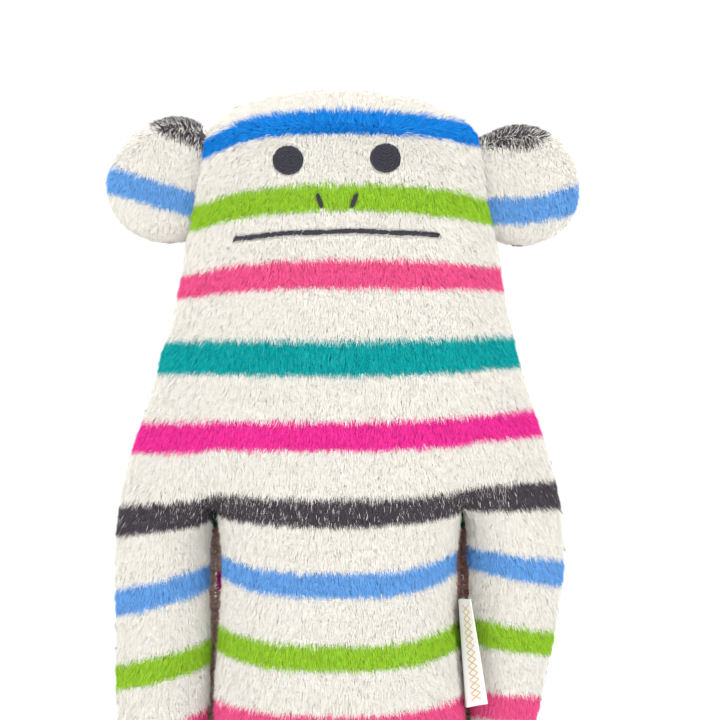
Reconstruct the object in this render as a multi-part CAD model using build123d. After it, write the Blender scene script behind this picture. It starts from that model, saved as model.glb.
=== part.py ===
"""Striped plush monkey doll: pile-fabric panels sewn round a fibre filling, with soft arms, legs and ears.

Millimetres. +Z points up towards the head, the face looks along -Y, and the doll's own left is +X.
The origin is on the floor, midway between the soles.
"""

from build123d import *
import math
import os

# Driving dimensions
PANEL_T = 1.6  # pile fabric, backing and sewn allowance together
FILL_GAP = 0.3  # between a panel and the filling behind it
JOINT_GAP = 1.0  # between a limb and the body above it, all through its travel
STITCH_T = 1.0  # how far embroidery stands off the panel

ARM_X = 100.5  # centre of the arm, out from the middle
ARM_R = 26.5  # the arm is round, and so is its top about the shoulder axis
SHOULDER_Z = 303.0  # shoulder axis
ARM_END_Z = 161.0

LEG_X = 36.0
LEG_R = 34.0
HIP_Z = 124.0  # hip axis
SOLE_EDGE_R = 10.0  # rounding round the flat sole

SHOULDER_CUT_Z = SHOULDER_Z + ARM_R + JOINT_GAP
HIP_CUT_Z = HIP_Z + LEG_R + JOINT_GAP

# Head and body in one: height, half width, half depth, from the shoulder cut to the crown
UPPER_BODY = [
    (SHOULDER_CUT_Z, 121.5, 69.0),
    (349.0, 116.5, 68.5),
    (377.0, 107.5, 67.5),
    (405.0, 100.0, 66.0),
    (432.0, 94.0, 64.0),
    (460.0, 90.0, 62.0),
    (493.0, 85.5, 58.0),
    (516.0, 82.5, 52.0),
    (533.0, 78.5, 44.0),
    (544.0, 68.0, 34.0),
    (551.0, 48.0, 22.0),
    (555.0, 26.0, 11.0),
]
# Belly between the arms, from the hip cut up into the chest
LOWER_BODY = [
    (HIP_CUT_Z, 66.0, 60.0),
    (190.0, 68.5, 65.0),
    (230.0, 69.5, 68.0),
    (290.0, 69.5, 68.5),
    (345.0, 68.0, 67.0),
]

EAR_ROOT_X = 87.8  # seam between the ear and the side of the head, at the ear's middle
EAR_Z = 503.0
EAR_TILT = 6.0  # degrees, following the slope of the head's side
# Ear: distance out from its seam, half height, half thickness
EAR = [
    (0.0, 29.0, 2.2),
    (5.0, 32.5, 4.6),
    (13.0, 35.0, 9.0),
    (22.0, 34.0, 12.0),
    (32.0, 28.0, 11.0),
    (40.0, 18.0, 7.0),
    (44.5, 7.0, 2.8),
]

EYE_X = 28.0
EYE_Z = 516.5
EYE_R = 8.7
NOSTRIL_X = 9.6
NOSTRIL_Z = 492.5
NOSTRIL = (2.4, 8.0)  # width, length
NOSTRIL_LEAN = 20.0  # degrees, lower ends towards the middle
MOUTH_Z = 472.5
MOUTH_WIDTH = 117.0
MOUTH_T = 2.6
MOUTH_RISE = 2.5  # how much higher its middle is than its ends

LABEL_LENGTH = 63.0
LABEL_WIDTH = 15.0
LABEL_T = 0.8  # a woven ribbon folded double
LABEL_TOP_Z = 261.0
LABEL_FOLD = (71.6, -22.5)  # x and y of the fold where it turns over the front of the arm
LABEL_TURN = 40.0  # degrees that it leans forward off the arm
LABEL_FOLD_GAP = 0.5  # left free on each side of the fold
LABEL_SEAM_X = 73.4  # its sewn edge, on the seam of the arm that faces the body

STITCH_COUNT = 9  # hand stitches that close the filling slit
STITCH_PITCH = 6.0
STITCH_R = 0.45
STITCH_LENGTH = 4.0
STITCH_BOTTOM_Z = 205.0

os.makedirs("parts", exist_ok=True)


def half_section(height, half_width, half_depth):
    """The front half of an ellipse, closed by a straight edge on the seam plane."""
    bow = Edge.make_ellipse(half_width, half_depth, start_angle=180, end_angle=360)
    chord = Edge.make_line((half_width, 0, 0), (-half_width, 0, 0))
    return Pos(0, 0, height) * Face(Wire([bow, chord]))


def inset(stations, depth):
    """The same lobe with its skin moved inwards, square to its surface."""
    moved = []
    last = len(stations) - 1
    for i, (height, width, thick) in enumerate(stations):
        below = stations[max(i - 1, 0)]
        above = stations[min(i + 1, last)]
        rise = above[0] - below[0]
        widen = (above[1] - below[1]) / rise
        thicken = (above[2] - below[2]) / rise
        if i == 0:
            lift = depth
        elif i == last:
            lift = -depth
        else:
            lift = depth * widen / math.hypot(1, widen)
        moved.append(
            (
                height + lift,
                width + lift * widen - depth * math.hypot(1, widen),
                thick + lift * thicken - depth * math.hypot(1, thicken),
            )
        )
    return moved


def half_lobe(stations):
    return loft([half_section(*station) for station in stations])


def whole(front_half):
    return front_half + mirror(front_half, about=Plane.XZ)


def body_half(depth):
    """Front half of the head and body, its skin moved inwards by depth."""
    return half_lobe(inset(UPPER_BODY, depth)) + half_lobe(inset(LOWER_BODY, depth))


def turned(edges, sweep):
    """A solid turned about the vertical from its outline in x and z; 180 degrees is the front half."""
    return Rot(0, 0, 180) * revolve(Plane.XZ * make_face(edges), Axis.Z, sweep)


def dome(radius, centre, low, high):
    """A stretch of an outline's round end about a centre, between two angles in degrees."""
    return CenterArc((0, centre), radius, low, high - low)


def arm_outline(depth):
    """Round at both ends, its skin moved inwards by depth."""
    radius = ARM_R - depth
    hand = ARM_END_Z + ARM_R
    return [
        dome(radius, hand, -90, 0),
        Line((radius, hand), (radius, SHOULDER_Z)),
        dome(radius, SHOULDER_Z, 0, 90),
        Line((0, SHOULDER_Z + radius), (0, hand - radius)),
    ]


def leg_outline(depth):
    """A flat sole with a rounded edge, and a round top."""
    radius = LEG_R - depth
    edge_x = LEG_R - SOLE_EDGE_R
    return [
        Line((0, depth), (edge_x, depth)),
        CenterArc((edge_x, SOLE_EDGE_R), SOLE_EDGE_R - depth, -90, 90),
        Line((radius, SOLE_EDGE_R), (radius, HIP_Z)),
        dome(radius, HIP_Z, 0, 90),
        Line((0, HIP_Z + radius), (0, depth)),
    ]


def ear_half(depth):
    """Front half of the ear, growing upwards from its seam."""
    return half_lobe(inset(EAR, depth))


def place_arm(shape):
    return Pos(ARM_X, 0, 0) * shape


def place_leg(shape):
    return Pos(LEG_X, 0, 0) * shape


def place_ear(shape):
    """Turns a lobe that grows upwards so that it grows out of the side of the head."""
    return Pos(EAR_ROOT_X, 0, EAR_Z) * Rot(0, 90 - EAR_TILT, 0) * shape


def save(name, shape):
    shape.label = name
    export_step(shape, f"parts/{name}.step")


def lofted(half_at):
    """Front panel and filling of a lofted lobe, given its front half at any depth."""
    return half_at(0) - half_at(PANEL_T), whole(half_at(PANEL_T + FILL_GAP))


def round_limb(outline_at):
    """Front panel and filling of a turned limb, given its outline at any depth."""
    panel = turned(outline_at(0), 180) - turned(outline_at(PANEL_T), 180)
    return panel, turned(outline_at(PANEL_T + FILL_GAP), 360)


def save_stuffed(name, panel, filling):
    save(f"{name}_front_panel", panel)
    save(f"{name}_back_panel", mirror(panel, about=Plane.XZ))
    save(f"{name}_filling", filling)


def save_pair(name, shapes, place):
    """The left limb or ear, and its mirror image on the right."""
    left = [place(shape) for shape in shapes]
    save_stuffed(f"left_{name}", *left)
    save_stuffed(f"right_{name}", *[mirror(shape, about=Plane.YZ) for shape in left])


def embroidery(outline):
    """A flat outline seen from the front, raised off the curve of the face."""
    raised = half_lobe(inset(UPPER_BODY, -STITCH_T)) - half_lobe(UPPER_BODY)
    prism = extrude(Plane.XZ * outline, amount=UPPER_BODY[0][2] + 10)
    return prism & raised


def mouth_outline():
    """A bar bent into a shallow arc, middle highest."""
    half = MOUTH_WIDTH / 2
    low, high = MOUTH_Z - MOUTH_T / 2, MOUTH_Z + MOUTH_T / 2
    edges = [
        ThreePointArc((-half, low), (0, low + MOUTH_RISE), (half, low)),
        Line((half, low), (half, high)),
        ThreePointArc((half, high), (0, high + MOUTH_RISE), (-half, high)),
        Line((-half, high), (-half, low)),
    ]
    return make_face(edges)


def face():
    """Eyes, nostrils and mouth, each in satin stitch."""
    for side, sign in (("left", 1), ("right", -1)):
        eye = Pos(sign * EYE_X, EYE_Z) * Circle(EYE_R)
        save(f"{side}_eye", embroidery(eye))
        stroke = Rot(0, 0, -sign * NOSTRIL_LEAN) * SlotOverall(
            NOSTRIL[1], NOSTRIL[0], rotation=90
        )
        save(f"{side}_nostril", embroidery(Pos(sign * NOSTRIL_X, NOSTRIL_Z) * stroke))
    save("mouth", embroidery(mouth_outline()))


def ribbon(width):
    """An upright stretch of the label's ribbon, starting at the origin and running to +X."""
    middle = LABEL_TOP_Z - LABEL_LENGTH / 2
    return Pos(width / 2, 0, middle) * Box(width, LABEL_T, LABEL_LENGTH)


def side_label():
    """The label: a tail that comes forward from the arm's seam, and the part that shows."""
    shown = Pos(LABEL_FOLD_GAP, 0, 0) * ribbon(LABEL_WIDTH - LABEL_FOLD_GAP)
    save("side_label", Pos(*LABEL_FOLD, 0) * Rot(0, 0, -LABEL_TURN) * shown)
    seam = (LABEL_SEAM_X, -LABEL_T)
    run = Vector(*LABEL_FOLD) - Vector(*seam)
    heading = math.degrees(math.atan2(run.Y, run.X))
    tail = ribbon(run.length - LABEL_FOLD_GAP)
    save("side_label_tail", Pos(*seam, 0) * Rot(0, 0, heading) * tail)


def closing_stitches():
    """Ladder stitches across the right side seam of the belly, where the filling went in."""
    stitches = []
    for i in range(STITCH_COUNT):
        height = STITCH_BOTTOM_Z + i * STITCH_PITCH
        side = -(LOWER_BODY[2][1] + STITCH_R + 0.2)
        stitch = Pos(side, 0, height) * Rot(90, 0, 0) * Cylinder(STITCH_R, STITCH_LENGTH)
        stitches.append(stitch)
    return Compound(children=stitches)


def main():
    save_stuffed("body", *lofted(body_half))
    save_pair("arm", round_limb(arm_outline), place_arm)
    save_pair("leg", round_limb(leg_outline), place_leg)
    save_pair("ear", lofted(ear_half), place_ear)
    face()
    side_label()
    save("closing_stitches", closing_stitches())


main()
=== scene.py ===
"""A striped plush monkey doll: stuffed lobes of pile fabric, every tuft of the pile as geometry, and a
face in satin stitch. Lengths are millimetres until a mesh is made, and angles are degrees."""

import math
from functools import partial

import bmesh
import bpy
import numpy as np
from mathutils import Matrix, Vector
from mathutils.geometry import delaunay_2d_cdt


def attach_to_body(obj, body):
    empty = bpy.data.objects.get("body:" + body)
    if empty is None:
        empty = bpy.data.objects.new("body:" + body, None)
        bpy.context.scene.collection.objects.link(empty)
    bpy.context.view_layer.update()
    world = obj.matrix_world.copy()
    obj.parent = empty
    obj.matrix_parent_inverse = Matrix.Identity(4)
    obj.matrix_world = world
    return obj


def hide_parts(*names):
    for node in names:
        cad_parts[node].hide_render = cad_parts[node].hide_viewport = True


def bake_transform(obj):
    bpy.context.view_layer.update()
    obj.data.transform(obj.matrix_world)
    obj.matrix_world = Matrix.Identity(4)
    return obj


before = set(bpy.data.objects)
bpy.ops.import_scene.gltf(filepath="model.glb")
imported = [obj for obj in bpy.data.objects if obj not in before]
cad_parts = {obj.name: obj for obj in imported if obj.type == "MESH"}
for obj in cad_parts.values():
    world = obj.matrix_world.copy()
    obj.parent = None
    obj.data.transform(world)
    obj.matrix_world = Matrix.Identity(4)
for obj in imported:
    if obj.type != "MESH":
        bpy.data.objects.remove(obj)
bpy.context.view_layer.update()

MM = 0.001

# The photograph's framing: where the middle of the view lies, and how much it spans
VIEW_CENTRE_X = 12.2
VIEW_CENTRE_Z = 400.0
VIEW_WIDTH = 417.6
VIEW_PLANE_Y = -30.0
CAMERA_DISTANCE = 3000.0
SENSOR = 36.0

# Pile
PILE_LENGTH = 5.0
TUFT_WIDTH = 0.36
HIDDEN_WIDTH = 0.66
FRONT_DENSITY = 5.2  # tufts per square millimetre
HIDDEN_DENSITY = 1.5
TUFTS_PER_PIECE = 62000
LOCK_SIZE = 3.4  # neighbouring tufts lean together in locks this wide
ROW_SHIFT = 2.6  # how far below its root a tuft shows
CROWN_FROM_Z = 470.0
THIN_BELOW_Z = 160.0
FLOOR_GAP = 0.2
BLADE_POINTS = 5  # a tuft is a blade of one quad and one triangle
BLADE_LOOPS = np.array([0, 1, 3, 2, 2, 3, 4])
BLADE_STARTS = np.array([0, 4])
ALONG = np.array([0, 0, 0.42, 0.42, 1])  # how far along the tuft each of its points lies
SHARE_OF_OWN_NORMAL = 0.15
SHARE_OF_AHEAD = 1.1  # light that reaches the pile's edges through it
# Each tuft's corners about its own spot in a texture, laid out by where its root lies
BAKE_CORNERS = np.array([[-0.5, 0.5], [0.5, 0.5], [-0.5, -0.2], [0.5, -0.2], [0.0, -0.9]]) * 0.0011
BAKE_MARGIN = 0.004

# Skin outline of the whole doll, seen from the front, down each side from the crown to the crotch
CROWN = (2, 555.5)
CROTCH = (0, 139)
HEAD_LEFT = [(33, 552.5), (55.5, 546.3), (72, 537.2), (81, 524), (83.5, 507), (85.5, 488)]
HEAD_RIGHT = [(-27, 553.5), (-50.5, 548.5), (-67, 540), (-77.5, 526), (-80.5, 507), (-84, 488)]
FLANK_LEFT = [(89, 468), (92, 448), (96.3, 424), (102, 400), (109, 376), (115.8, 356), (120.8, 340)]
FLANK_RIGHT = [(-87, 468), (-89.3, 448), (-94, 424), (-101, 400), (-108, 376), (-115, 356), (-120, 340)]
ARM_LEFT = [(124.8, 324), (127.5, 306), (128.6, 284), (126.8, 262), (123.4, 240), (118.5, 218)]
ARM_LEFT_END = [(114.5, 198), (110, 181), (101, 168.5), (91, 166), (83.5, 173), (80, 190)]
ARM_RIGHT = [(-124, 324), (-126.8, 306), (-128.6, 284), (-128, 262), (-127.8, 240), (-128, 218)]
ARM_RIGHT_END = [(-127, 195), (-122, 178), (-111, 167.5), (-98, 165), (-86, 171), (-80, 189)]
ARMPIT = [(78, 230), (78.6, 262), (78.6, 282), (77.3, 300), (75.3, 311), (72, 315.5), (69, 311), (67, 300)]
BELLY_SIDE = [(65.8, 283), (66, 262), (68, 235), (70, 212), (70.5, 190), (69.5, 160), (67.5, 128)]
LEG_SIDE = [(67.5, 85), (67.5, 40), (66, 10), (57, -7), (37, -13), (18, -7), (10, 10)]
LEG_INSIDE = [(8.5, 40), (7.5, 85), (6, 122), (3.5, 134)]
SOLE_Z = 2.6

# Ears: skin outline from the seam round the ear and back
EAR_LEFT = [
    (76, 519), (88, 530), (104, 535), (120, 531.5), (132, 520), (137.5, 503),
    (135, 487), (124.5, 475.5), (110, 470), (97, 471), (87, 475), (76, 482),
]
EAR_RIGHT = [
    (-74, 527), (-84, 537), (-97, 540), (-110, 535.5), (-121.5, 527), (-129.5, 516),
    (-133.5, 503), (-131, 490.5), (-124.5, 481), (-114, 474), (-100, 471.5), (-86, 474), (-74, 482),
]
EAR_DEPTH = 13.5
EAR_SEAM_X = 85.0

# Half depth that the stuffing tends to, by height
DEPTHS = [(0, 70), (400, 70), (450, 67), (500, 60), (560, 56)]
STUFFING_POWER = 6

# Folds where a limb starts to bend, and how far on it follows the limb alone
SHOULDER_FOLD = ((72, 313), (127, 341))
SHOULDER_BEND = 46.0
HIP_FOLD = ((2, 139), (70, 152))
HIP_BEND = 44.0
ARM_FROM_Z = 150.0  # everything beside the body above this height is arm
LEG_TO_X = 75.0

# The slit between an arm and the belly
SEAM_X = 73.0
SLIT_REACH = 11.0
SLIT_HEIGHTS = (175.0, 318.0)
SLIT_DEPTHS = (-0.5, 26.0)
SLIT_CLOSING = 6.5  # how far each side of it bulges towards the other behind the seam

# Printed rows of the front panel: heights of the stripes' middles on the centre line
ROWS = [533, 492.5, 448.4, 399.4, 355.2, 310.6, 269.7, 227.6, 187.2, 145, 101, 57, 14]
ROW_ABOVE, ROW_BELOW = 43, 42  # how far on the next rows would lie
UNDYED_REACH = 98.0  # how far out from the middle more of the grey row's hairs are left undyed
# Half the width of each stripe, as a share of the distance between two
HALVES = [0.13, 0.19, 0.175, 0.22, 0.19, 0.19, 0.17, 0.18, 0.19, 0.19, 0.19, 0.19, 0.19]
EDGE = 0.19
# How much lower the rows lie beside the armpit, and on the arm at its inner seam and at its outer edge
SAG_X = 72.0
SAG_LEFT = [4.5, 5.2, 1.6, -2.2, -3, -7.2, -17.5, -14.5, -9, -6, -5, -4, -3]
SAG_LEFT_ARM = [4.5, 5.2, 1.6, -2.2, -3, -8, -21, -19.5, -14, -13, -12, -12, -12]
SAG_LEFT_EDGE = [4.8, 8.7, 2, -3.5, -6.5, -10, -5, -5.5, -7.5, -8, -8, -8, -8]
SAG_RIGHT = [11.5, 8.5, 4.5, -1, -0.3, -5, -13.8, -12, -6, -5, -4, -4, -3]
SAG_RIGHT_ARM = [11.5, 8.5, 4.5, -1, -0.3, -6, -13, -9, -11, -9, -8, -6, -6]
SAG_RIGHT_EDGE = [12, 11.5, 7.5, -1, 2, 5.5, 12.5, 14, 15, 14, 12, 12, 12]
SIDE_HEIGHTS = [0, 290, 340, 356, 376, 400, 424, 448, 488, 560]
SIDE_WIDTHS = [127, 127, 120, 115, 108, 101, 95, 90.5, 85.5, 80]
BACK_TOP = 557.0
BACK_PITCH = 22.0
EAR_PITCH = 40.0
GREY_ROW = 5  # in the front's colours
MAGENTA_ROW, BROWN_ROW, GREEN_ROW, TAN_ROW = 3, 4, 6, 7  # in the back's
# Where the back's green and magenta show through a slit
GREEN_FROM_Z = 303.0
MAGENTA_Z = 271.0
MAGENTA_REACH = 5.0

CREAM = (0.945, 0.925, 0.85)
BLUE = (0.004, 0.25, 0.82)
LIME = (0.33, 0.66, 0.03)
PINK = (1.0, 0.105, 0.30)
TEAL = (0.0, 0.42, 0.42)
MAGENTA = (1.0, 0.033, 0.36)
GREY = (0.072, 0.065, 0.077)
LIGHT_BLUE = (0.15, 0.42, 0.90)
STRIPES = [BLUE] + [LIME, PINK, TEAL, MAGENTA, GREY, LIGHT_BLUE] * 2
BACK_STRIPES = [
    (0.03, 0.50, 0.55),
    (0.85, 0.62, 0.03),
    (0.16, 0.42, 0.85),
    (0.80, 0.02, 0.30),
    (0.58, 0.31, 0.25),
    (0.06, 0.055, 0.065),
    (0.01, 0.17, 0.06),
    (0.70, 0.48, 0.39),
]

# Face
FACE_X = -1.1
EYE_OUT = 27.8
EYE_Z = 514.8
EYE_TILT_Z = 0.6  # the doll's left eye is this much higher, and the right one lower
EYE_HALF_WIDTH = 8.3
EYE_HALF_HEIGHT = 7.9
NOSTRIL_OUT = 9.8
NOSTRIL_Z = 490.7
NOSTRIL_LENGTH = 8.2
NOSTRIL_WIDTH = 2.3
NOSTRIL_LEAN = 20.0
MOUTH_X = -0.9
MOUTH_HALF = 57.6
MOUTH_Z = 470.1
MOUTH_RISE = 3.2
MOUTH_WIDTH = 2.5
STITCH_HEIGHT = 3.2  # how far the embroidery lies above the skin, on the pile it presses down
THREAD_R = 0.30
EYE_THREAD_R = 0.42

rng = np.random.default_rng(20)


# ---- small helpers

def unit(vectors):
    return vectors / np.maximum(np.linalg.norm(vectors, axis=-1, keepdims=True), 1e-9)


def spline(points, step, closed=True):
    """Points about a step apart along the Catmull-Rom curve through the given ones."""
    points = np.array(points, float)
    count = len(points)
    spans = count if closed else count - 1
    found = []
    for i in range(spans):
        if closed:
            p0, p1, p2, p3 = (points[(i + k) % count] for k in (-1, 0, 1, 2))
        else:
            p0, p1, p2, p3 = (points[min(max(i + k, 0), count - 1)] for k in (-1, 0, 1, 2))
        parts = max(1, round(np.linalg.norm(p2 - p1) / step))
        t = (np.arange(parts) / parts)[:, None]
        found.append(
            0.5 * (2 * p1 + (p2 - p0) * t + (2 * p0 - 5 * p1 + 4 * p2 - p3) * t**2
                   + (3 * p1 - p0 - 3 * p2 + p3) * t**3)
        )
    if not closed:
        found.append(points[-1:])
    return np.concatenate(found)


def waves(points, length, seed, count=7):
    """A smooth field between about -1 and 1 that varies over the given length."""
    dice = np.random.default_rng(seed)
    directions = unit(dice.normal(size=(count, 3)))
    lengths = length * dice.uniform(0.7, 1.6, count)
    phases = dice.uniform(0, 2 * math.pi, count)
    angles = points @ (directions / lengths[:, None] * 2 * math.pi).T + phases
    return np.sin(angles).sum(1) / math.sqrt(count)


def smooth_step(value, low, high):
    t = np.clip((value - low) / (high - low), 0, 1)
    return t * t * (3 - 2 * t)


def make_object(name, vertices, loops, starts):
    """A mesh object in metres from vertices in millimetres and faces as Blender stores them."""
    mesh = bpy.data.meshes.new(name)
    mesh.vertices.add(len(vertices))
    mesh.vertices.foreach_set("co", (np.asarray(vertices) * MM).astype(np.float32).ravel())
    mesh.loops.add(len(loops))
    mesh.loops.foreach_set("vertex_index", np.asarray(loops, np.int32).ravel())
    mesh.polygons.add(len(starts))
    mesh.polygons.foreach_set("loop_start", np.asarray(starts, np.int32).ravel())
    mesh.update(calc_edges=True)
    mesh.shade_smooth()
    made = bpy.data.objects.new(name, mesh)
    bpy.context.scene.collection.objects.link(made)
    return made


def store(obj, name, values):
    """One number for each vertex, for the materials."""
    layer = obj.data.attributes.new(name, "FLOAT", "POINT")
    layer.data.foreach_set("value", np.asarray(values, np.float32).ravel())


# ---- stuffed shapes

def inside(outline, x, z):
    """Which of the points lie inside the closed outline."""
    found = np.zeros(x.shape, bool)
    for (x1, z1), (x2, z2) in zip(outline, np.roll(outline, -1, axis=0)):
        if z1 == z2:
            continue
        crosses = (z1 > z) != (z2 > z)
        found ^= crosses & (x < (x2 - x1) * (z - z1) / (z2 - z1) + x1)
    return found


class Lobe:
    """The space inside an outline, blown up like a cushion sewn along it."""

    CELL = 1.5
    RIM_DEPTHS = (1.0, 3.2, 6.4)
    RIM_PROBE = 8.0

    def __init__(self, outline, depth_at, rounds=700):
        self.outline = outline
        self.depth_at = depth_at
        self.low = outline.min(0) - 3 * self.CELL
        size = np.ceil((outline.max(0) - self.low) / self.CELL).astype(int) + 4
        x, z = (self.low[k] + self.CELL * np.arange(size[k]) for k in (0, 1))
        self.swell = self.solve(inside(outline, *np.meshgrid(x, z, indexing="ij")), rounds)

    def solve(self, mask, rounds):
        """The shape of a membrane under pressure, held at the outline."""
        u = np.zeros(mask.shape)
        i, j = np.indices(mask.shape)
        parity = [mask & ((i + j) % 2 == k) for k in (0, 1)]
        source = self.CELL**2
        across = min(mask.any(1).sum(), mask.any(0).sum())
        pull = 2 / (1 + math.sin(math.pi / across))
        for _ in range(rounds):
            for chosen in parity:
                around = np.zeros_like(u)
                around[1:-1, 1:-1] = (
                    u[:-2, 1:-1] + u[2:, 1:-1] + u[1:-1, :-2] + u[1:-1, 2:] + source
                ) / 4
                u[chosen] += pull * (around[chosen] - u[chosen])
        return u

    def swell_at(self, x, z):
        """The membrane's height at places, between its grid's points."""
        i = np.clip((x - self.low[0]) / self.CELL, 0, self.swell.shape[0] - 1.001)
        j = np.clip((z - self.low[1]) / self.CELL, 0, self.swell.shape[1] - 1.001)
        i0, j0 = i.astype(int), j.astype(int)
        fi, fj = i - i0, j - j0
        s = self.swell
        return (
            s[i0, j0] * (1 - fi) * (1 - fj) + s[i0 + 1, j0] * fi * (1 - fj)
            + s[i0, j0 + 1] * (1 - fi) * fj + s[i0 + 1, j0 + 1] * fi * fj
        )

    def depth(self, x, z, swell=None):
        """Half the thickness at a place."""
        raw = np.sqrt(2 * np.maximum(self.swell_at(x, z) if swell is None else swell, 0))
        most = self.depth_at(z)
        return raw / (1 + (raw / most) ** STUFFING_POWER) ** (1 / STUFFING_POWER)

    def mesh(self, spacing):
        """Points on the outline's plane with their half depths, and triangles between them."""
        edge = self.outline
        along = unit(np.roll(edge, -1, axis=0) - np.roll(edge, 1, axis=0))
        inward = np.stack([-along[:, 1], along[:, 0]], axis=1)
        probe = edge + inward
        if inside(edge, probe[:, 0], probe[:, 1]).mean() < 0.5:
            inward = -inward
        root_shade_colour = edge + inward * self.RIM_PROBE
        bend = (2 * self.swell_at(root_shade_colour[:, 0], root_shade_colour[:, 1]) / self.RIM_PROBE + self.RIM_PROBE) / 2
        points, swells = [edge], [np.zeros(len(edge))]
        for d in self.RIM_DEPTHS:
            points.append(edge + inward * d)
            swells.append(d * (2 * bend - d) / 2)
        low, high = edge.min(0), edge.max(0)
        rows = []
        for k, z in enumerate(np.arange(low[1], high[1], spacing * math.sqrt(0.75))):
            x = np.arange(low[0] + spacing / 2 * (k % 2), high[0], spacing)
            rows.append(np.stack([x, np.full(len(x), z)], axis=1))
        grid = np.concatenate(rows)
        grid = grid[inside(edge, grid[:, 0], grid[:, 1])]
        gap = np.concatenate(
            [np.linalg.norm(part[:, None] - edge, axis=2).min(1) for part in np.array_split(grid, 8)]
        )
        grid = grid[gap > self.RIM_DEPTHS[-1] + spacing * 0.5]
        points.append(grid)
        swells.append(self.swell_at(grid[:, 0], grid[:, 1]))
        points, swells = np.concatenate(points), np.concatenate(swells)
        count = len(edge)
        ring = [(k, (k + 1) % count) for k in range(count)]
        found = delaunay_2d_cdt([Vector(p) for p in points], ring, [], 1, 1e-5)
        flat, faces, origins = found[0], found[2], found[3]
        flat = np.array([tuple(p) for p in flat])
        swell = np.array([swells[o[0]] if len(o) else 0.0 for o in origins])
        on_rim = np.array([len(o) > 0 and min(o) < count for o in origins])
        triangles = np.array([f for f in faces if len(f) == 3])
        a, b, c = (flat[triangles[:, k]] for k in range(3))
        turn = (b[:, 0] - a[:, 0]) * (c[:, 1] - a[:, 1]) - (b[:, 1] - a[:, 1]) * (c[:, 0] - a[:, 0])
        triangles[turn < 0] = triangles[turn < 0][:, ::-1]
        depth = np.where(on_rim, 0, self.depth(flat[:, 0], flat[:, 1], swell))
        return flat, depth, on_rim, triangles


class Cushion:
    """A stuffed lobe's skin: points, unit normals, and triangles marked front or back."""

    def __init__(self, lobe, spacing):
        flat, depth, on_rim, triangles = lobe.mesh(spacing)
        triangles = triangles[~on_rim[triangles].all(1)]
        count = len(flat)
        front = np.stack([flat[:, 0], -depth, flat[:, 1]], axis=1)
        back = np.stack([flat[:, 0], depth, flat[:, 1]], axis=1)
        twin = np.arange(count) + count
        twin[on_rim] = np.flatnonzero(on_rim)
        self.points = np.concatenate([front, back])
        self.triangles = np.concatenate([triangles, twin[triangles[:, ::-1]]])
        self.is_front = np.arange(len(self.triangles)) < len(triangles)
        self.refresh()

    def refresh(self):
        a, b, c = (self.points[self.triangles[:, k]] for k in range(3))
        face_normals = np.cross(b - a, c - a)
        self.areas = np.linalg.norm(face_normals, axis=1) / 2
        self.normals = np.zeros_like(self.points)
        for k in range(3):
            np.add.at(self.normals, self.triangles[:, k], face_normals)
        self.normals = unit(self.normals)

    def sample(self, chosen, density):
        """Random places on the chosen triangles, and the skin's normals there."""
        index = np.flatnonzero(chosen)
        areas = self.areas[index]
        count = int(areas.sum() * density)
        pick = index[np.searchsorted(np.cumsum(areas), rng.random(count) * areas.sum())]
        u, v = rng.random(count), rng.random(count)
        over = u + v > 1
        u[over], v[over] = 1 - u[over], 1 - v[over]
        weights = np.stack([1 - u - v, u, v], axis=1)[:, :, None]
        corners = self.triangles[pick]
        return (self.points[corners] * weights).sum(1), unit((self.normals[corners] * weights).sum(1))

    def centres(self):
        return self.points[self.triangles].mean(1)


def depth_by_height(z):
    return np.interp(z, *zip(*DEPTHS))


def doll_outline():
    """The outline of head, body and limbs, once round."""
    left = HEAD_LEFT + FLANK_LEFT + ARM_LEFT + ARM_LEFT_END + ARMPIT + BELLY_SIDE + LEG_SIDE + LEG_INSIDE
    right = HEAD_RIGHT + FLANK_RIGHT + ARM_RIGHT + ARM_RIGHT_END
    right += [(-x, z) for x, z in ARMPIT + BELLY_SIDE + LEG_SIDE + LEG_INSIDE]
    return spline([CROWN] + left + [CROTCH] + right[::-1], 4.0)


def square_to(fold):
    """The direction from a fold line out along the limb."""
    (x0, z0), (x1, z1) = fold
    return np.array([z1 - z0, x0 - x1]) / math.hypot(x1 - x0, z1 - z0)


def past_fold(points, fold, sign):
    """How far points lie on the limb's side of a fold line, square to it."""
    x0, z0 = fold[0]
    return np.stack([points[:, 0] * sign - x0, points[:, 2] - z0], axis=1) @ square_to(fold)


def part_of(points):
    """Each point's lobe: 0 body, 1 left arm, 2 right arm, 3 left leg, 4 right leg."""
    part = np.zeros(len(points), int)
    for sign, arm, leg in ((1, 1, 3), (-1, 2, 4)):
        out = points[:, 0] * sign
        beside = (out > SAG_X) & (past_fold(points, SHOULDER_FOLD, sign) > 0)
        part[beside & (points[:, 2] > ARM_FROM_Z)] = arm
        below = (out > 0) & (past_fold(points, HIP_FOLD, sign) > 0)
        part[below & (out < LEG_TO_X)] = leg
    return part


# ---- printed rows

def sag(x, z, height):
    """How much lower the row that crosses the centre line at a height lies at a place."""
    left = x > 0

    def by_height(*sides):
        return np.where(left, *(np.interp(height, ROWS[::-1], side[::-1]) for side in sides))

    middle = by_height(SAG_LEFT, SAG_RIGHT)
    arm = by_height(SAG_LEFT_ARM, SAG_RIGHT_ARM)
    edge = by_height(SAG_LEFT_EDGE, SAG_RIGHT_EDGE)
    width = np.interp(z, SIDE_HEIGHTS, SIDE_WIDTHS)
    reach = np.abs(x)
    steep = np.where((height < 290) | ((height > 515) & ~left), 3.0, 2.2)
    inner = middle * np.clip(reach / SAG_X, 0, 1) ** steep
    outer = arm + (edge - arm) * np.clip((reach - SAG_X) / np.maximum(width - SAG_X, 6), 0, 1) ** 0.5
    return np.where(reach > SAG_X, outer, inner)


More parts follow.
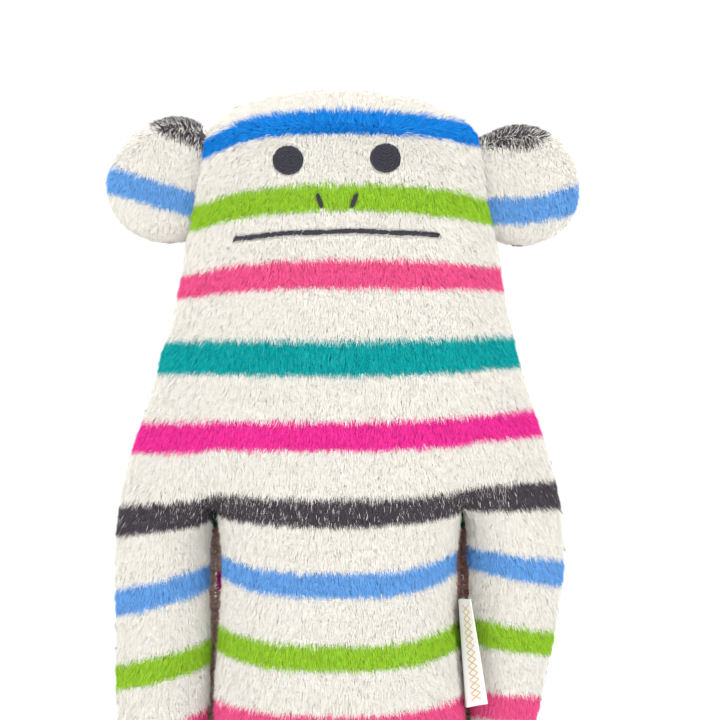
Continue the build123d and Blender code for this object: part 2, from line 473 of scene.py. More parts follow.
def front_rows(points):
    """The row number at each root on the front: whole numbers are the middles of stripes."""
    shown = points[:, 2] - ROW_SHIFT
    height = shown
    for _ in range(4):
        height = shown + sag(points[:, 0], shown, height)
    heights = [ROWS[-1] - ROW_BELOW] + ROWS[::-1] + [ROWS[0] + ROW_ABOVE]
    rows = np.interp(height, heights, np.arange(len(ROWS), -2, -1))
    # Stretch each row about its middle so that every stripe's edge comes at the same share
    nearest = np.round(rows)
    gap = rows - nearest
    half = np.array(HALVES)[np.clip(nearest, 0, len(HALVES) - 1).astype(int)]
    away = np.abs(gap)
    beyond = EDGE + (away - half) * (0.5 - EDGE) / (0.5 - half)
    rows = nearest + np.sign(gap) * np.where(away < half, away * EDGE / half, beyond)
    return mottled(rows, GREY_ROW, np.where(np.abs(points[:, 0]) < UNDYED_REACH, 0.05, 0.015))


def mottled(rows, row, share):
    """Rows with a share of the hairs in one of them left undyed."""
    plain = (np.abs(rows - row) < 0.3) & (rng.random(len(rows)) < share)
    return np.where(plain, row + 0.5, rows)


def back_rows(points):
    """The row number at each root on the back, and the colours in the slits, where brown and tan are partly
    the back's print and partly painted shade.
    """
    x, _, z = points.T
    rows = (BACK_TOP - z + 2.5 * waves(points, 160, 5)) / BACK_PITCH
    slit = in_slit(points)
    # In a slit the tufts are brown, and tan on the right: partly the back's print, partly painted shade in
    # the gap down to its foot
    rows = np.where(slit, np.where(x < 0, TAN_ROW, BROWN_ROW), rows)
    rows = np.where(slit & (z > GREEN_FROM_Z), GREEN_ROW, rows)
    patch = (x < 0) & (x > -SAG_X) & (np.abs(z - MAGENTA_Z) < MAGENTA_REACH)
    return np.where(slit & patch, MAGENTA_ROW, rows)


def in_slit(points):
    """Roots on the back of the seams between an arm and the belly, which show through the gap."""
    x, y, z = points.T
    beside = np.abs(np.abs(x) - SEAM_X) < SLIT_REACH
    high = (z > SLIT_HEIGHTS[0]) & (z < SLIT_HEIGHTS[1])
    return beside & high & (y > SLIT_DEPTHS[0]) & (y < SLIT_DEPTHS[1])


def ear_rows(points):
    """A light blue row across the middle of the ear, and a grey patch on its top beside the head."""
    left = points[:, 0] > 0
    out = np.abs(points[:, 0])
    shown = points[:, 2] - ROW_SHIFT
    # Heights of the blue row's middle and of the patch's lower edge
    blue = np.where(left, 485.8 + 7.5 * np.clip((out - 87) / 49, 0, 1) ** 3, 488 + (out - 80) * 0.30)
    patch_left = 521.5 + 0.6 * np.maximum(out - 112, 0)
    patch_right = 527.5 - 0.35 * np.maximum(98 - out, 0) + 0.45 * np.maximum(out - 98, 0)
    rows = np.maximum(6 - (shown - blue) / EAR_PITCH, GREY_ROW + 0.4)
    in_patch = shown + rng.normal(0, 1.3, len(out)) > np.where(left, patch_left, patch_right)
    return mottled(np.where(in_patch, GREY_ROW, rows), GREY_ROW, 0.24)


# ---- pile

def face_clearance(x, z):
    """Distance outside the nearest embroidery, in the face's plane. Negative on it."""
    gaps = []
    for sign in (1, -1):
        dx = x - (FACE_X + sign * EYE_OUT)
        dz = z - (EYE_Z + sign * EYE_TILT_Z)
        gaps.append((np.hypot(dx / EYE_HALF_WIDTH, dz / EYE_HALF_HEIGHT) - 1) * EYE_HALF_HEIGHT)
        lean = math.radians(NOSTRIL_LEAN) * sign
        ahead = (math.sin(lean), math.cos(lean))
        dx = x - (FACE_X + sign * NOSTRIL_OUT)
        dz = z - NOSTRIL_Z
        along = np.clip(dx * ahead[0] + dz * ahead[1], -NOSTRIL_LENGTH / 2, NOSTRIL_LENGTH / 2)
        gaps.append(np.hypot(dx - along * ahead[0], dz - along * ahead[1]) - NOSTRIL_WIDTH / 2)
    t = np.clip((x - MOUTH_X) / MOUTH_HALF, -1, 1)
    gaps.append(np.hypot(x - MOUTH_X - t * MOUTH_HALF, z - mouth_height(t)) - MOUTH_WIDTH / 2)
    return np.min(gaps, axis=0)


def mouth_height(t):
    """Height of the mouth's line, from -1 at its right end to 1 at its left."""
    return MOUTH_Z + MOUTH_RISE * (1 - t * t) + 0.9 * t


def comb(roots, normals):
    """Which way the pile lies at each root: down, a little outwards, and inwards on top of the head.

    In the slits it stands off the skin instead, where it fills the gap."""
    x = roots[:, 0]
    crown = smooth_step(normals[:, 2], 0.45, 0.8) * (roots[:, 2] > CROWN_FROM_Z)
    down = (0.0022 + 0.006 * crown) * x + 0.12 * waves(roots, 46, 11)
    inwards = crown * np.where(roots[:, 1] > 0, -1.3 * smooth_step(roots[:, 1], 4, 18), 1.3)
    flow = np.stack([down, inwards, crown - 1.0], axis=1)
    lying = unit(flow - normals * (flow * normals).sum(1)[:, None] + 1e-4)
    across = normals * 1.2 + np.array([0, 0.25, -0.5])
    return np.where(in_slit(roots)[:, None] & (roots[:, 1:2] > 0), unit(across), lying)


def grow(roots, normals, lying, length, width):
    """Tufts as tapering blades: their vertices, five to a tuft, root first."""
    count = len(roots)
    locks = np.floor((roots + rng.normal(0, 0.45, (count, 3))) / LOCK_SIZE).astype(np.int64)
    keys = (locks * np.array([73856093, 19349663, 83492791])).sum(1) % 1000003
    _, lock = np.unique(keys, return_inverse=True)
    lock = lock.ravel()
    lock_count = lock.max() + 1
    members = np.bincount(lock, minlength=lock_count)
    middle = np.stack(
        [np.bincount(lock, roots[:, k], lock_count) / members for k in range(3)], axis=1
    )[lock]
    lean = rng.normal(0, 1, (lock_count, 3))[lock]
    stray = rng.normal(0, 1, (count, 3))
    tall = length * (1 + 0.12 * rng.normal(0, 1, lock_count)[lock] + 0.10 * rng.normal(0, 1, count))
    tall = np.clip(tall, 0.55 * length, 1.35 * length)[:, None]
    # A tuft rises off the skin, and bends over along the pile less than half way up
    up = unit(normals * 0.95 + lying * 0.38 + 0.09 * lean + 0.18 * stray)
    over = unit(normals * 0.36 + lying + 0.07 * lean + 0.14 * stray)
    half = roots + up * tall * 0.42
    tip = half + over * tall * 0.62
    # The tips in a lock are drawn together
    pull = (middle - roots) - normals * ((middle - roots) * normals).sum(1)[:, None]
    half = half + pull * 0.04
    tip = tip + pull * 0.18
    # Its flat side faces out and towards the viewer in front or behind, give or take a twist
    ahead = np.where(roots[:, 1:2] > 0, 0.5, -0.5) * np.array([0, 1.0, 0])
    side = unit(np.cross(tip - roots, normals + ahead))
    twist = rng.normal(0, 0.45, count)[:, None]
    along = unit(tip - roots)
    side = side * np.cos(twist) + np.cross(along, side) * np.sin(twist)
    wide = width * rng.uniform(0.75, 1.2, count)[:, None]
    facing = np.cross(side, along)
    side = side * np.sign((facing * normals).sum(1))[:, None]
    start = roots - normals * 0.3
    return np.stack(
        [start - side * wide * 0.5, start + side * wide * 0.5,
         half - side * wide * 0.42, half + side * wide * 0.42, tip],
        axis=1,
    )


def shorten_by_face(blades):
    """Tufts that would hang over the embroidery stop at its edge, and none grow under it."""
    root = blades[:, 0]
    kept = face_clearance(root[:, 0], root[:, 2]) > 0.2
    share = np.ones(len(root))
    for part in np.linspace(1, 0.1, 10):
        place = root + (blades[:, 4] - root) * part
        share[face_clearance(place[:, 0], place[:, 2]) < 0.5] = part - 0.05
    blades = root[:, None] + (blades - root[:, None]) * share[:, None, None]
    return blades[kept], kept


def pile_piece(name, blades, normals, rows, shades, material):
    """One piece of pile with each tuft's row, shade and length along it stored for its material.

    Every tuft is shaded mostly as the skin it stands on, the way a dense pile scatters light."""
    # Tufts under the feet are pressed short of the floor
    root = blades[:, :1, 2]
    reach = root - blades[:, :, 2].min(1, keepdims=True)
    press = np.minimum((root - FLOOR_GAP) / np.maximum(reach, 0.01), 1)
    below = blades[:, :, 2] < root
    blades[:, :, 2] = np.where(below, root - (root - blades[:, :, 2]) * press, blades[:, :, 2])
    count = len(blades)
    number = np.arange(count)[:, None]
    loops = (BLADE_LOOPS + BLADE_POINTS * number).ravel()
    starts = (BLADE_STARTS + len(BLADE_LOOPS) * number).ravel()
    made = make_object(name, blades.reshape(-1, 3), loops, starts)
    store(made, "row", np.repeat(rows, BLADE_POINTS))
    store(made, "shade", np.repeat(shades, BLADE_POINTS))
    store(made, "along", np.tile(ALONG, count))
    root = blades[:, 0][:, [0, 2]]
    low = root.min(0)
    spread = max((root.max(0) - low).max(), 1)
    spot = BAKE_MARGIN + (1 - 2 * BAKE_MARGIN) * (root - low) / spread
    uv = (spot[:, None] + BAKE_CORNERS)[:, BLADE_LOOPS].reshape(-1, 2)
    layer = made.data.uv_layers.new(name="OFBake")
    layer.data.foreach_set("uv", uv.astype(np.float32).ravel())
    flat = unit(np.cross(blades[:, 1] - blades[:, 0], blades[:, 3] - blades[:, 0]))
    flat = flat * np.sign((flat * normals).sum(1))[:, None]
    # Light reaches the pile from in front, and less of it down on the legs
    ahead = np.where((blades[:, 0, 1] > 0) & ~in_slit(blades[:, 0]), 0.3, -1.0)
    ahead *= 0.25 + 0.75 * smooth_step(blades[:, 0, 2], 168, 210)
    ahead[ahead > 0] *= 1 - smooth_step(normals[:, 2], 0.3, 0.6)[ahead > 0]
    shaded = normals + flat * SHARE_OF_OWN_NORMAL
    shaded[:, 1] += ahead * SHARE_OF_AHEAD
    shaded = np.repeat(unit(shaded), BLADE_POINTS, axis=0)
    made.data.normals_split_custom_set_from_vertices(shaded.tolist())
    made.data.materials.append(material)
    return made


# ---- materials

class Nodes:
    """A material or world being wired up."""

    def __init__(self, owner):
        owner.use_nodes = True
        self.tree = owner.node_tree
        self.tree.nodes.clear()

    def add(self, kind, inputs=None, **settings):
        """A node with its settings and its inputs, which are values or other nodes' outputs."""
        node = self.tree.nodes.new(kind)
        for key, value in settings.items():
            setattr(node, key, value)
        for key, value in (inputs or {}).items():
            self.feed(node, key, value)
        return node

    def feed(self, node, key, value):
        socket = node.inputs[key]
        if isinstance(value, bpy.types.NodeSocket):
            self.tree.links.new(value, socket)
        else:
            socket.default_value = value

    def math(self, operation, *values):
        node = self.add("ShaderNodeMath", operation=operation)
        for k, value in enumerate(values):
            self.feed(node, k, value)
        return node.outputs[0]

    def times(self, *values):
        return self.math("MULTIPLY", *values)

    def plus(self, *values):
        return self.math("ADD", *values)

    def read(self, name):
        return self.add("ShaderNodeAttribute", attribute_name=name).outputs["Fac"]

    def mix(self, share, first, second, blend="MIX"):
        node = self.add("ShaderNodeMix", data_type="RGBA", blend_type=blend)
        self.feed(node, 0, share)
        for k, value in ((6, first), (7, second)):
            self.feed(node, k, (*value, 1) if isinstance(value, tuple) else value)
        return node.outputs[2]

    def ramp(self, value, stops, constant=False):
        node = self.add("ShaderNodeValToRGB")
        self.feed(node, 0, value)
        ramp = node.color_ramp
        ramp.interpolation = "CONSTANT" if constant else "EASE"
        while len(ramp.elements) < len(stops):
            ramp.elements.new(0.5)
        for element, (place, _) in zip(ramp.elements, stops):
            element.position = place
        for element, (_, colour) in zip(ramp.elements, stops):
            element.color = (*colour, 1)
        return node.outputs[0]

    def noise(self, scale, detail):
        place = self.add("ShaderNodeTexCoord").outputs["Object"]
        node = self.add("ShaderNodeTexNoise", {"Scale": scale, "Detail": detail, "Vector": place})
        return node.outputs["Fac"]

    def fit(self, value, *limits):
        """The value, taken from its own low and high to a new low and high."""
        node = self.add("ShaderNodeMapRange", clamp=True)
        for k, given in enumerate((value, *limits)):
            self.feed(node, k, given)
        return node.outputs[0]

    def finish(self, colour, roughness, height=None, bump=0.2, sheen=0.0, **fixed):
        shader = self.add("ShaderNodeBsdfPrincipled")
        self.feed(shader, "Base Color", colour)
        self.feed(shader, "Roughness", roughness)
        self.feed(shader, "Sheen Weight", sheen)
        self.feed(shader, "Sheen Roughness", 0.45)
        for key, value in fixed.items():
            self.feed(shader, key.replace("_", " "), value)
        if height is not None:
            node = self.add("ShaderNodeBump", {"Height": height, "Strength": bump, "Distance": 0.0004})
            self.feed(shader, "Normal", node.outputs[0])
        self.add("ShaderNodeOutputMaterial", {0: shader.outputs[0]})


def striped(name, palette, half_width, first_row, is_pile):
    """Dyed rows on cream, read from each tuft's or point's row number."""
    material = bpy.data.materials.new(name)
    n = Nodes(material)
    row = n.read("row")
    nearest = n.math("ROUND", row)
    gap = n.math("ABSOLUTE", n.math("SUBTRACT", row, nearest))
    shade = n.read("shade") if is_pile else n.noise(900, 2)
    above = n.math("LESS_THAN", row, nearest)
    spread = n.plus(0.055, n.times(above, 0.03))
    ragged = n.plus(gap, n.times(n.math("SUBTRACT", shade, 0.5), spread))
    on = n.fit(ragged, half_width - 0.012, half_width + 0.012, 1.0, 0.0)
    if first_row is None:
        turn = n.math("FLOORED_MODULO", nearest, float(len(palette)))
    else:
        turn = n.math("MAXIMUM", nearest, 0.0)
        on = n.times(on, n.math("GREATER_THAN", row, first_row - 0.5))
    place = n.math("DIVIDE", n.plus(turn, 0.5), float(len(palette)))
    dyed = n.ramp(place, [(k / len(palette), c) for k, c in enumerate(palette)], constant=True)
    patchy = n.noise(38, 3)
    warm = n.mix(n.times(patchy, 0.5), CREAM, (0.93, 0.86, 0.75))
    colour = n.mix(on, warm, dyed)
    if is_pile:
        along = n.read("along")
        # Each hair's brightness differs at random, and it is painted darker towards its root: painted shade
        # deep in the pile
        bright = n.plus(0.96, n.times(shade, 0.05))
        bright = n.times(bright, n.fit(along, 0.0, 0.9, 0.80, 1.0))
        grey = n.add("ShaderNodeCombineColor", {0: bright, 1: bright, 2: bright})
        colour = n.mix(1.0, colour, grey.outputs[0], "MULTIPLY")
        # Dyed hairs are painted darker and deeper at their roots, painted shade deep in the pile, and
        # differ from one to the next
        other = n.math("FRACT", n.times(shade, 37.0))
        root_shade_colour = n.mix(1.0, colour, (0.80, 0.64, 0.68), "MULTIPLY")
        root_shade = n.times(n.math("SUBTRACT", 1.0, along), n.times(on, 0.45))
        colour = n.mix(root_shade, colour, root_shade_colour)
        streak = n.ramp(
            other, [(0.0, (0.70, 0.58, 0.66)), (0.4, (1.0, 0.98, 1.0)), (1.0, (1.08, 1.16, 1.12))]
        )
        colour = n.mix(on, colour, n.mix(1.0, colour, streak, "MULTIPLY"))
        paler = n.times(n.math("POWER", other, 8.0), n.times(on, 0.05))
        colour = n.mix(paler, colour, (0.90, 0.93, 0.95))
        rough = n.plus(0.62, n.times(shade, 0.25))
        # Both sides of a tuft are shaded as its outer side
        geometry = n.add("ShaderNodeNewGeometry").outputs
        side = n.math("SUBTRACT", 1.0, n.times(geometry["Backfacing"], 2.0))
        outer = n.add("ShaderNodeVectorMath", {0: geometry["Normal"], "Scale": side}, operation="SCALE")
        n.finish(colour, rough, Specular_IOR_Level=0.06, Normal=outer.outputs[0])
    else:
        fine = n.noise(1500, 2)
        colour = n.mix(0.15, colour, (0.45, 0.42, 0.38), "MULTIPLY")
        rough = n.plus(0.8, n.times(fine, 0.15))
        n.finish(colour, rough, height=fine, bump=0.5, sheen=0.2)
    return material


def thread(name, colour, light, sheen=0.3, metallic=0.0):
    """Stranded thread in two tones."""
    material = bpy.data.materials.new(name)
    n = Nodes(material)
    fine = n.noise(2600, 3)
    broad = n.noise(260, 2)
    tone = n.mix(fine, colour, light)
    tone = n.mix(n.times(broad, 0.45), tone, colour)
    rough = n.plus(0.36, n.times(fine, 0.3))
    n.finish(tone, rough, height=fine, bump=0.6, sheen=sheen, Metallic=metallic, Specular_IOR_Level=0.45)
    return material


front_pile = striped("front_pile", STRIPES, EDGE, 0, True)
back_pile = striped("back_pile", BACK_STRIPES, 0.22, None, True)
front_cloth = striped("front_cloth", STRIPES, EDGE, 0, False)
back_cloth = striped("back_cloth", BACK_STRIPES, 0.22, None, False)
dark_thread = thread("dark_thread", (0.010, 0.010, 0.018), (0.022, 0.020, 0.036), sheen=0.04)
pale_thread = thread("pale_thread", (0.80, 0.76, 0.68), (0.9, 0.88, 0.8))
gold_thread = thread("gold_thread", (0.62, 0.38, 0.10), (0.86, 0.66, 0.30), sheen=0.0, metallic=0.45)


# ---- build the stuffed lobes and their pile

def cushion_piece(name, cushion, chosen, rows_front, rows_back):
    """The skin under the pile as one closed piece."""
    triangles = cushion.triangles[chosen]
    used, index = np.unique(triangles, return_inverse=True)
    faces = index.reshape(-1, 3)
    points = cushion.points[used]
    made = make_object(name, points, faces.ravel(), np.arange(0, faces.size, 3))
    is_front = cushion.is_front[chosen]
    made.data.materials.append(front_cloth)
    made.data.materials.append(back_cloth)
    made.data.polygons.foreach_set("material_index", (~is_front).astype(np.int32))
    build = bmesh.new()
    build.from_mesh(made.data)
    lone = [f for f in build.faces if all(e.is_boundary for e in f.edges)]
    bmesh.ops.delete(build, geom=lone, context="FACES_ONLY")
    filled = bmesh.ops.holes_fill(build, edges=[e for e in build.edges if e.is_boundary], sides=0)
    bmesh.ops.triangulate(build, faces=filled["faces"])
    build.to_mesh(made.data)
    build.free()
    made.data.shade_smooth()
    rows = np.where(points[:, 1] < 0.01, rows_front(points), rows_back(points))
    store(made, "row", rows[: len(made.data.vertices)])
    return made


def pile_on(name, cushion, chosen, rows_front, rows_back, density_at, length, by_face=False):
    """The pile of some triangles, as pieces of front pile and of back pile."""
    made = []
    for facing, is_front, most, width, rows_at, material, slot in (
        ("front", True, FRONT_DENSITY, TUFT_WIDTH, rows_front, front_pile, "striped_plush"),
        ("back", False, HIDDEN_DENSITY, HIDDEN_WIDTH, rows_back, back_pile, "striped_plush_back"),
    ):
        roots, normals = cushion.sample(chosen & (cushion.is_front == is_front), most)
        if is_front:
            kept = rng.random(len(roots)) < density_at(roots) / most
            roots, normals = roots[kept], normals[kept]
        rows = rows_at(roots)
        shades = rng.random(len(roots))
        blades = grow(roots, normals, comb(roots, normals), length, width)
        if by_face and is_front:
            blades, kept = shorten_by_face(blades)
            normals, rows, shades = normals[kept], rows[kept], shades[kept]
        order = np.argsort(-blades[:, 0, 2], kind="stable")
        parts = max(1, math.ceil(len(order) / TUFTS_PER_PIECE))
        for k, share in enumerate(np.array_split(order, parts)):
            made.append(pile_piece(
                f"{name}_{facing}_pile_{k + 1}", blades[share], normals[share], rows[share],
                shades[share], material,
            ))
    return made


def density_front(roots):
    """Full where the photograph looks from near by, thinner on the legs."""
    return np.where(roots[:, 2] > THIN_BELOW_Z, FRONT_DENSITY, HIDDEN_DENSITY)


def bend_limb(piece, sign, body, fold, bend):
    """Bakes the piece's placement into its mesh."""
    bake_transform(piece)


def bend_ear(piece):
    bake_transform(piece)


doll = Lobe(doll_outline(), depth_by_height)
skin = Cushion(doll, 5.0)
lumps = 0.7 * waves(skin.points, 60, 3) + 0.3 * waves(skin.points, 24, 4)
skin.points += skin.normals * (lumps * smooth_step(np.abs(skin.points[:, 1]), 2, 18))[:, None]
parts = part_of(skin.centres())
# Behind the seams the arms lie close against the belly
beside = np.abs(skin.points[:, 0]) - SEAM_X
near = smooth_step(skin.points[:, 1], 1, 10) * np.clip(1 - np.abs(beside) / 20, 0, 1)
near *= smooth_step(skin.points[:, 2], 165, 190) * (1 - smooth_step(skin.points[:, 2], 308, 316))
skin.points[:, 0] -= np.sign(skin.points[:, 0]) * np.sign(beside) * near * SLIT_CLOSING
skin.points[:, 2] = np.maximum(skin.points[:, 2], SOLE_Z)
skin.refresh()


def nodes_of(name):
    return [f"{name}_front_panel", f"{name}_back_panel", f"{name}_filling"]


def build_part(name, number, attach, nodes):
    chosen = parts == number
    piece = cushion_piece(f"{name}_plush", skin, chosen, front_rows, back_rows)
    attach(piece)
    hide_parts(*nodes)
    for pile in pile_on(name, skin, chosen, front_rows, back_rows, density_front, PILE_LENGTH, number == 0):
        attach(pile)


build_part("body", 0, lambda piece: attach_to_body(piece, "body"), nodes_of("body"))
for name, number, sign, fold, bend in (
    ("left_arm", 1, 1, SHOULDER_FOLD, SHOULDER_BEND),
    ("left_leg", 3, 1, HIP_FOLD, HIP_BEND),
    ("right_arm", 2, -1, SHOULDER_FOLD, SHOULDER_BEND),
    ("right_leg", 4, -1, HIP_FOLD, HIP_BEND),
):
    attach = partial(bend_limb, sign=sign, body=name, fold=fold, bend=bend)
    build_part(name, number, attach, nodes_of(name))

for sign, side, outline in ((1, "left", EAR_LEFT), (-1, "right", EAR_RIGHT)):
    lobe = Lobe(spline(outline, 2.5), lambda z: np.full(np.shape(z), EAR_DEPTH), rounds=220)
    ear = Cushion(lobe, 4.0)
    everywhere = np.ones(len(ear.triangles), bool)
    piece = cushion_piece(f"{side}_ear_plush", ear, everywhere, ear_rows, back_rows)
    bend_ear(piece)
    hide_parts(*nodes_of(f"{side}_ear"))
    outer = ear.centres()[:, 0] * sign > EAR_SEAM_X - 4
    for pile in pile_on(
        f"{side}_ear", ear, outer, ear_rows, back_rows,
        lambda roots: np.full(len(roots), FRONT_DENSITY), PILE_LENGTH * 0.95,
    ):
        bend_ear(pile)


# ---- embroidery

def on_face(x, z, above):
    """Points over the front skin, lifted off it along its normal."""
    x, z = np.asarray(x, float), np.asarray(z, float)
    step = 1.5
    depth = doll.depth(x, z)
    slope_x = (doll.depth(x + step, z) - doll.depth(x - step, z)) / (2 * step)
    slope_z = (doll.depth(x, z + step) - doll.depth(x, z - step)) / (2 * step)
    normal = unit(np.stack([-slope_x, -np.ones_like(x), -slope_z], axis=-1))
    return np.stack([x, -depth, z], axis=-1) + normal * np.asarray(above)[..., None], normal


def threads(name, paths, normals, radius, material):
    """Fine tubes along paths of as many points each, a little flattened against the skin."""
    sides = 6
    count, length = paths.shape[:2]
    ahead = unit(np.gradient(paths, axis=1))
    across = unit(np.cross(ahead, normals))
    above = np.cross(across, ahead)
    turn = np.linspace(0, 2 * math.pi, sides, endpoint=False)
    ring = (
        across[:, :, None] * (np.cos(turn) * radius)[:, None]
        + above[:, :, None] * (np.sin(turn) * radius * 0.8)[:, None]
    )
    vertices = (paths[:, :, None] + ring).reshape(-1, 3)
    base = (np.arange(count) * length * sides)[:, None, None]
    i = np.arange(length - 1)[:, None] * sides
    j = np.arange(sides)
    k = (j + 1) % sides
    quads = np.stack([base + i + j, base + i + sides + j, base + i + sides + k, base + i + k], axis=-1)
    first = base[:, :, 0] + j[::-1]
    last = base[:, :, 0] + (length - 1) * sides + j
    caps = np.concatenate([first, last]).reshape(-1, sides)
    loops = np.concatenate([quads.reshape(-1), caps.reshape(-1)])
    quad_count = quads.size // 4
    starts = np.concatenate([np.arange(quad_count) * 4, quad_count * 4 + np.arange(len(caps)) * sides])
    made = make_object(name, vertices, loops, starts)
    made.data.materials.append(material)
    return made


def stitches(name, starts, ends, arch, radius=THREAD_R):
    """Stitches from points to points in the face's plane, arched up between their two holes."""
    t = np.linspace(0, 1, 7)[None, :, None]
    flat = starts[:, None] * (1 - t) + ends[:, None] * t
    rise = STITCH_HEIGHT + arch * np.sin(np.pi * t[..., 0]) ** 0.6 - 0.5
    rise = rise + 0.10 * rng.normal(size=(len(starts), 1))
    paths, normals = on_face(flat[..., 0], flat[..., 1], rise)
    made = threads(name, paths, normals, radius, dark_thread)
    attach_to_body(made, "body")
    return made


def eye(sign, side):
    """Rows of long stitches, with a border of short ones worked over their ends."""
    centre = np.array([FACE_X + sign * EYE_OUT, EYE_Z + sign * EYE_TILT_Z])
    tilt = math.radians(-14 if sign > 0 else 20)
    ahead = np.array([math.cos(tilt), math.sin(tilt)])
    across = np.array([-ahead[1], ahead[0]])
    size = np.array([EYE_HALF_WIDTH, EYE_HALF_HEIGHT])
    pitch = EYE_THREAD_R * 1.8
    rows = np.arange(-0.94, 0.95, pitch / EYE_HALF_HEIGHT)
    starts, ends = [], []
    for k, r in enumerate(rows):
        reach = math.sqrt(1 - r * r) * 0.97
        cut = 0.36 * math.sin(k * 2.4)
        for low, high in ((-reach, cut), (cut - 0.05, reach)):
            if high - low > 0.15:
                starts.append(centre + size * (ahead * low + across * r))
                ends.append(centre + size * (ahead * high + across * r))
    turns = np.arange(0, 2 * math.pi, pitch / EYE_HALF_WIDTH)
    rim = np.stack([np.cos(turns), np.sin(turns)], axis=1)
    slanted = np.stack([np.cos(turns + 0.10), np.sin(turns + 0.10)], axis=1)
    rough = 1 + 0.012 * rng.normal(size=(len(turns), 1))
    starts += list(centre + size * rim * 0.84)
    ends += list(centre + size * slanted * 1.02 * rough)
    piece = stitches(f"{side}_eye_stitches", np.array(starts), np.array(ends), 0.55, EYE_THREAD_R)
    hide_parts(f"{side}_eye")


def nostril(sign, side):
    """A short bar of stitches across its line."""
    lean = math.radians(NOSTRIL_LEAN) * sign
    ahead = np.array([math.sin(lean), math.cos(lean)])
    across = np.array([ahead[1], -ahead[0]])
    centre = np.array([FACE_X + sign * NOSTRIL_OUT, NOSTRIL_Z])
    reach = np.arange(-NOSTRIL_LENGTH / 2, NOSTRIL_LENGTH / 2, THREAD_R * 1.6)
    half = NOSTRIL_WIDTH / 2 * np.sqrt(np.clip(1.05 - (reach / (NOSTRIL_LENGTH / 2)) ** 4, 0.2, 1))
    line = centre + reach[:, None] * ahead
    starts = line - across * half[:, None]
    ends = line + across * half[:, None] + ahead * 0.5
    piece = stitches(f"{side}_nostril_stitches", starts, ends, 0.5)
    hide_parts(f"{side}_nostril")


def mouth():
    """Slanting satin stitches side by side along a shallow arc."""
    t = np.arange(-1, 1, THREAD_R * 1.9 / MOUTH_HALF)
    line = np.stack([MOUTH_X + t * MOUTH_HALF, mouth_height(t) + 0.25 * np.sin(t * 9)], axis=1)
    half = MOUTH_WIDTH / 2 * (1 + 0.08 * np.sin(t * 23) + 0.20 * rng.normal(size=len(t)))
    offset = np.stack([np.full(len(t), 0.75), half], axis=1)
    piece = stitches("mouth_stitches", line - offset, line + offset, 0.5)
    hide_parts("mouth")


for sign, side in ((1, "left"), (-1, "right")):
    eye(sign, side)
    nostril(sign, side)
mouth()


# ---- side label

LABEL_TOP = 261.0
LABEL_LENGTH = 63.0
LABEL_SHOWN = 14.6
LABEL_FOLD = (69.6, -25.0)
LABEL_SEAM = (73.2, -2.0)
LABEL_TURN = (62.0, 34.0)  # how far it leans forward off the arm, at its top and at its bottom
LABEL_DRIFT = 4.6  # how far out its bottom lies from under its top
LABEL_TAIL = math.dist(LABEL_SEAM, LABEL_FOLD)
LABEL_WHOLE = LABEL_TAIL + LABEL_SHOWN


def label_point(u, v):
    """A place on the folded ribbon: u runs in from the seam, out to the free edge and back; v runs down."""
    (x0, y0), (x1, y1) = LABEL_SEAM, LABEL_FOLD
    back = u > LABEL_WHOLE
    run = np.where(back, 2 * LABEL_WHOLE - u, u)
    layer = np.where(back, -0.35, 0.35)
    share = v / LABEL_LENGTH
    turn = np.radians(LABEL_TURN[0] + (LABEL_TURN[1] - LABEL_TURN[0]) * share)
    on_tail = run < LABEL_TAIL
    s = np.clip(run / LABEL_TAIL, 0, 1)
    out = np.maximum(run - LABEL_TAIL, 0)
    drift = LABEL_DRIFT * share**1.15
    x = np.where(on_tail, x0 + (x1 - x0) * s, x1 + out * np.cos(turn))
    y = np.where(on_tail, y0 + (y1 - y0) * s, y1 - out * np.sin(turn))
    bow = 0.8 * np.sin(share * 2.6) * np.sin(np.clip(out / LABEL_SHOWN, 0, 1) * 1.6)
    x = x + drift * s + np.where(on_tail, layer, 0)
    y = y + np.where(on_tail, 0, layer) - bow
    z = LABEL_TOP - v + 0.6 * np.sin(out / LABEL_SHOWN * 1.5) + 2.2 * share * out / LABEL_SHOWN
    return np.stack([x, y, z], axis=-1)


def label_material():
    """White satin ribbon: fine warp and weft, and a faint sheen."""
    material = bpy.data.materials.new("woven_label")
    n = Nodes(material)
    uv = n.add("ShaderNodeUVMap", uv_map="weave").outputs[0]
    split = n.add("ShaderNodeSeparateXYZ", {0: uv}).outputs
    warp = n.math("SINE", n.times(split[0], 2 * math.pi / 0.35))
    weft = n.math("SINE", n.times(split[1], 2 * math.pi / 0.5))
    weave = n.plus(n.times(warp, 0.6), n.times(weft, 0.4))
    fine = n.noise(700, 3)
    colour = n.mix(n.plus(0.5, n.times(weave, 0.25)), (0.80, 0.79, 0.77), (0.93, 0.925, 0.91))
    colour = n.mix(n.times(fine, 0.3), colour, (0.88, 0.85, 0.80))
    rough = n.plus(0.38, n.times(fine, 0.2))
    n.finish(colour, rough, height=weave, bump=0.35, sheen=0.2)
    return material


def grid_object(name, points, rows, columns):
    """A sheet through a grid of points, and the corners of its quads."""
    i, j = np.meshgrid(np.arange(rows - 1), np.arange(columns - 1), indexing="ij")
    a = (i * columns + j).ravel()
    quads = np.stack([a, a + 1, a + columns + 1, a + columns], axis=1)
    return make_object(name, points.reshape(-1, 3), quads.ravel(), np.arange(len(quads)) * 4), quads


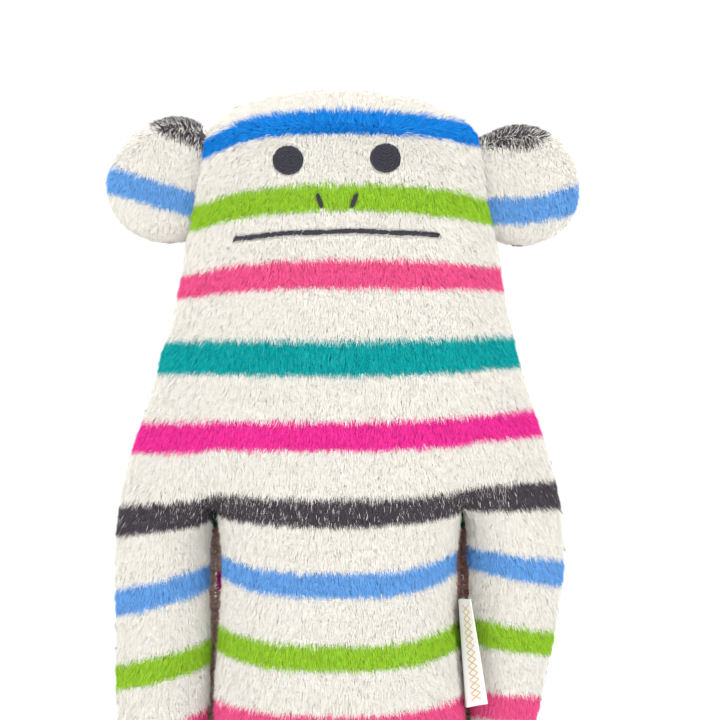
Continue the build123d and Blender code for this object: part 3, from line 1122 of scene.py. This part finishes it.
def bend_label(piece):
    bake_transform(piece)


def side_label():
    u = np.linspace(0, 2 * LABEL_WHOLE, 91)
    v = np.linspace(0, LABEL_LENGTH, 48)
    grid_v, grid_u = np.meshgrid(v, u, indexing="ij")
    made, quads = grid_object("side_label_ribbon", label_point(grid_u, grid_v), len(v), len(u))
    layer = made.data.uv_layers.new(name="weave")
    uv = np.stack([grid_u.ravel(), grid_v.ravel()], axis=1)[quads.ravel()]
    layer.data.foreach_set("uv", uv.astype(np.float32).ravel())
    made.data.materials.append(label_material())
    bend_label(made)
    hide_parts("side_label", "side_label_tail")

    # A plain woven border in gold: two zigzags that cross into a chain of lozenges
    middle = 2 * LABEL_WHOLE - (LABEL_TAIL + LABEL_SHOWN * 0.5)
    paths = []
    for k in range(14):
        down = 3.6 + k * 4.0
        for swing in (3.3, -3.3):
            swing = swing if k % 2 else -swing
            paths.append(np.linspace((middle - swing, down), (middle + swing, down + 4.0), 12))
    paths = np.array(paths)
    points = label_point(paths[..., 0], paths[..., 1])
    points[..., 1] -= 0.12
    normals = np.zeros_like(points)
    normals[..., 1] = -1
    motif = threads("side_label_motif", points, normals, 0.26, gold_thread)
    bend_label(motif)


side_label()
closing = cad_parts["closing_stitches"]
closing.data.materials.clear()
closing.data.materials.append(pale_thread)


# ---- studio

def studio():
    bpy.ops.mesh.primitive_plane_add(size=60.0, location=(0, 0, 0))
    floor = bpy.context.object
    floor.name = "studio_floor"
    material = bpy.data.materials.new("studio_floor")
    n = Nodes(material)
    tone = n.mix(n.noise(3, 2), (0.86, 0.86, 0.86), (0.90, 0.90, 0.90))
    n.finish(tone, 0.9, Emission_Color=(1, 1, 1, 1), Emission_Strength=0.16)
    floor.data.materials.append(material)

    world = bpy.data.worlds.new("studio")
    bpy.context.scene.world = world
    n = Nodes(world)
    light = n.add("ShaderNodeBackground", {"Color": (1, 1, 1, 1), "Strength": 1.13})
    n.add("ShaderNodeOutputWorld", {0: light.outputs[0]})

    aim = Vector((0, 0, 0.36))
    for name, place, size, power in (
        ("key", (-1.2, -2.6, 1.9), 1.8, 37),
        ("fill", (1.2, -2.7, 0.7), 1.8, 29),
        ("back", (0.4, 2.2, 1.9), 1.6, 12),
    ):
        lamp = bpy.data.lights.new(name, "AREA")
        lamp.size = size
        lamp.energy = power
        made = bpy.data.objects.new(name, lamp)
        made.location = place
        made.rotation_euler = (aim - Vector(place)).to_track_quat("-Z", "Y").to_euler()
        bpy.context.scene.collection.objects.link(made)


def camera():
    lens = bpy.data.cameras.new("camera")
    lens.sensor_width = SENSOR
    lens.lens = SENSOR * CAMERA_DISTANCE / VIEW_WIDTH
    lens.clip_start = 0.05
    lens.clip_end = 200
    made = bpy.data.objects.new("camera", lens)
    made.location = (VIEW_CENTRE_X * MM, (VIEW_PLANE_Y - CAMERA_DISTANCE) * MM, VIEW_CENTRE_Z * MM)
    made.rotation_euler = (math.radians(90), 0, 0)
    bpy.context.scene.collection.objects.link(made)
    bpy.context.scene.camera = made


studio()
camera()
bpy.context.scene.view_settings.view_transform = "Standard"
